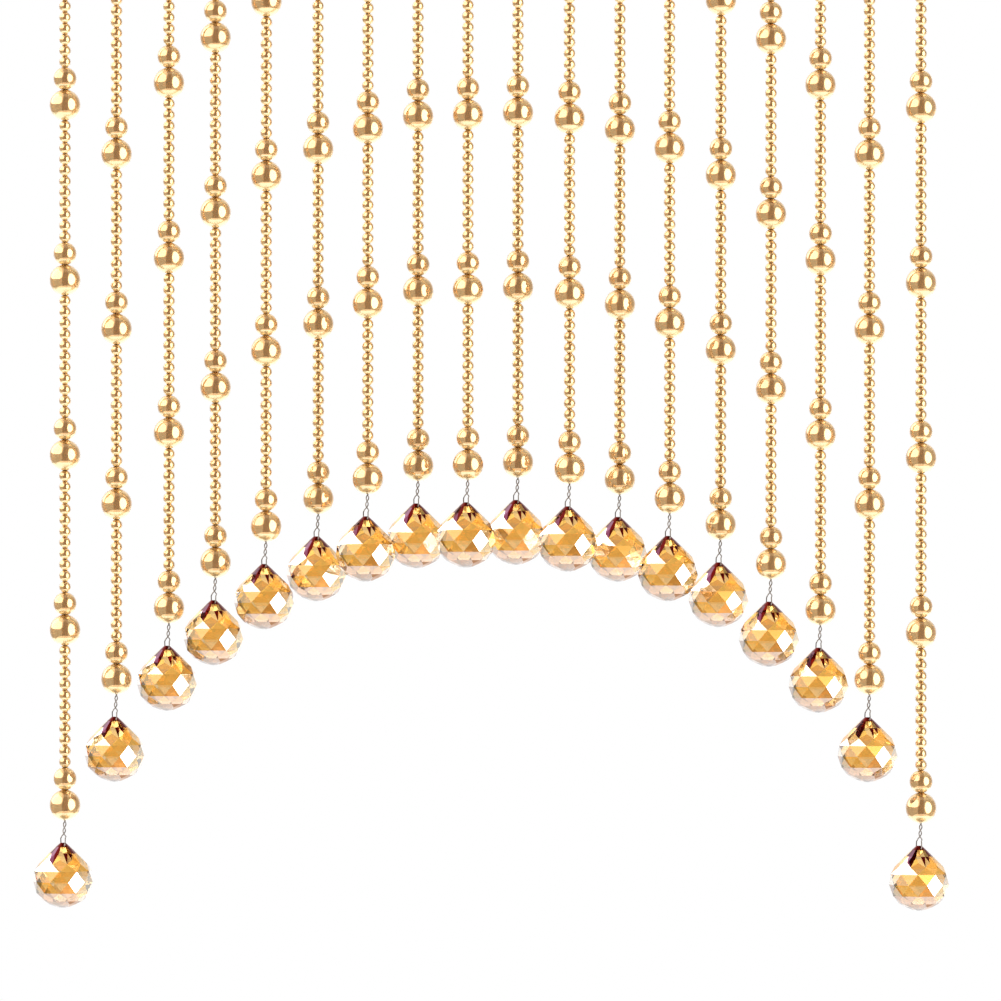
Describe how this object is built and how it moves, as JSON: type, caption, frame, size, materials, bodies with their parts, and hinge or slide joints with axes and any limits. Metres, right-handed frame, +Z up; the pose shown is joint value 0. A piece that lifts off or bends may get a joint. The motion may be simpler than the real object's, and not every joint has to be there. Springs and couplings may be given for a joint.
{
  "type": "bead curtain",
  "caption": "Curtain of bead strings hung from a narrow tape heading, with beads in three sizes, a faceted glass ball on a wire loop under each string, and an arched hem.",
  "frame": {"origin": "middle of the heading's top edge, where the curtain is held", "axes": "+Z up, +X to the right of a viewer who looks along +Y; the curtain hangs in -Z and the viewer stands on -Y"},
  "size_m": [0.468, 0.0474, 0.4953],
  "materials": {
    "tape": "plain woven tape, matt",
    "wire": "drawn wire, silver-grey",
    "bead_glass": "clear champagne glass, fire polished",
    "crystal_glass": "clear amber glass, cut and polished"
  },
  "bodies": {
    "root": {"heading": "tape", "line_01": "wire", "beads_01": "bead_glass", "crystal_01": "crystal_glass", "line_02": "wire", "beads_02": "bead_glass", "crystal_02": "crystal_glass", "line_03": "wire", "beads_03": "bead_glass", "crystal_03": "crystal_glass", "line_04": "wire", "beads_04": "bead_glass", "crystal_04": "crystal_glass", "line_05": "wire", "beads_05": "bead_glass", "crystal_05": "crystal_glass", "line_06": "wire", "beads_06": "bead_glass", "crystal_06": "crystal_glass", "line_07": "wire", "beads_07": "bead_glass", "crystal_07": "crystal_glass", "line_08": "wire", "beads_08": "bead_glass", "crystal_08": "crystal_glass", "line_09": "wire", "beads_09": "bead_glass", "crystal_09": "crystal_glass", "line_10": "wire", "beads_10": "bead_glass", "crystal_10": "crystal_glass", "line_11": "wire", "beads_11": "bead_glass", "crystal_11": "crystal_glass", "line_12": "wire", "beads_12": "bead_glass", "crystal_12": "crystal_glass", "line_13": "wire", "beads_13": "bead_glass", "crystal_13": "crystal_glass", "line_14": "wire", "beads_14": "bead_glass", "crystal_14": "crystal_glass", "line_15": "wire", "beads_15": "bead_glass", "crystal_15": "crystal_glass", "line_16": "wire", "beads_16": "bead_glass", "crystal_16": "crystal_glass", "line_17": "wire", "beads_17": "bead_glass", "crystal_17": "crystal_glass", "line_18": "wire", "beads_18": "bead_glass", "crystal_18": "crystal_glass"}
  },
  "joints": []
}
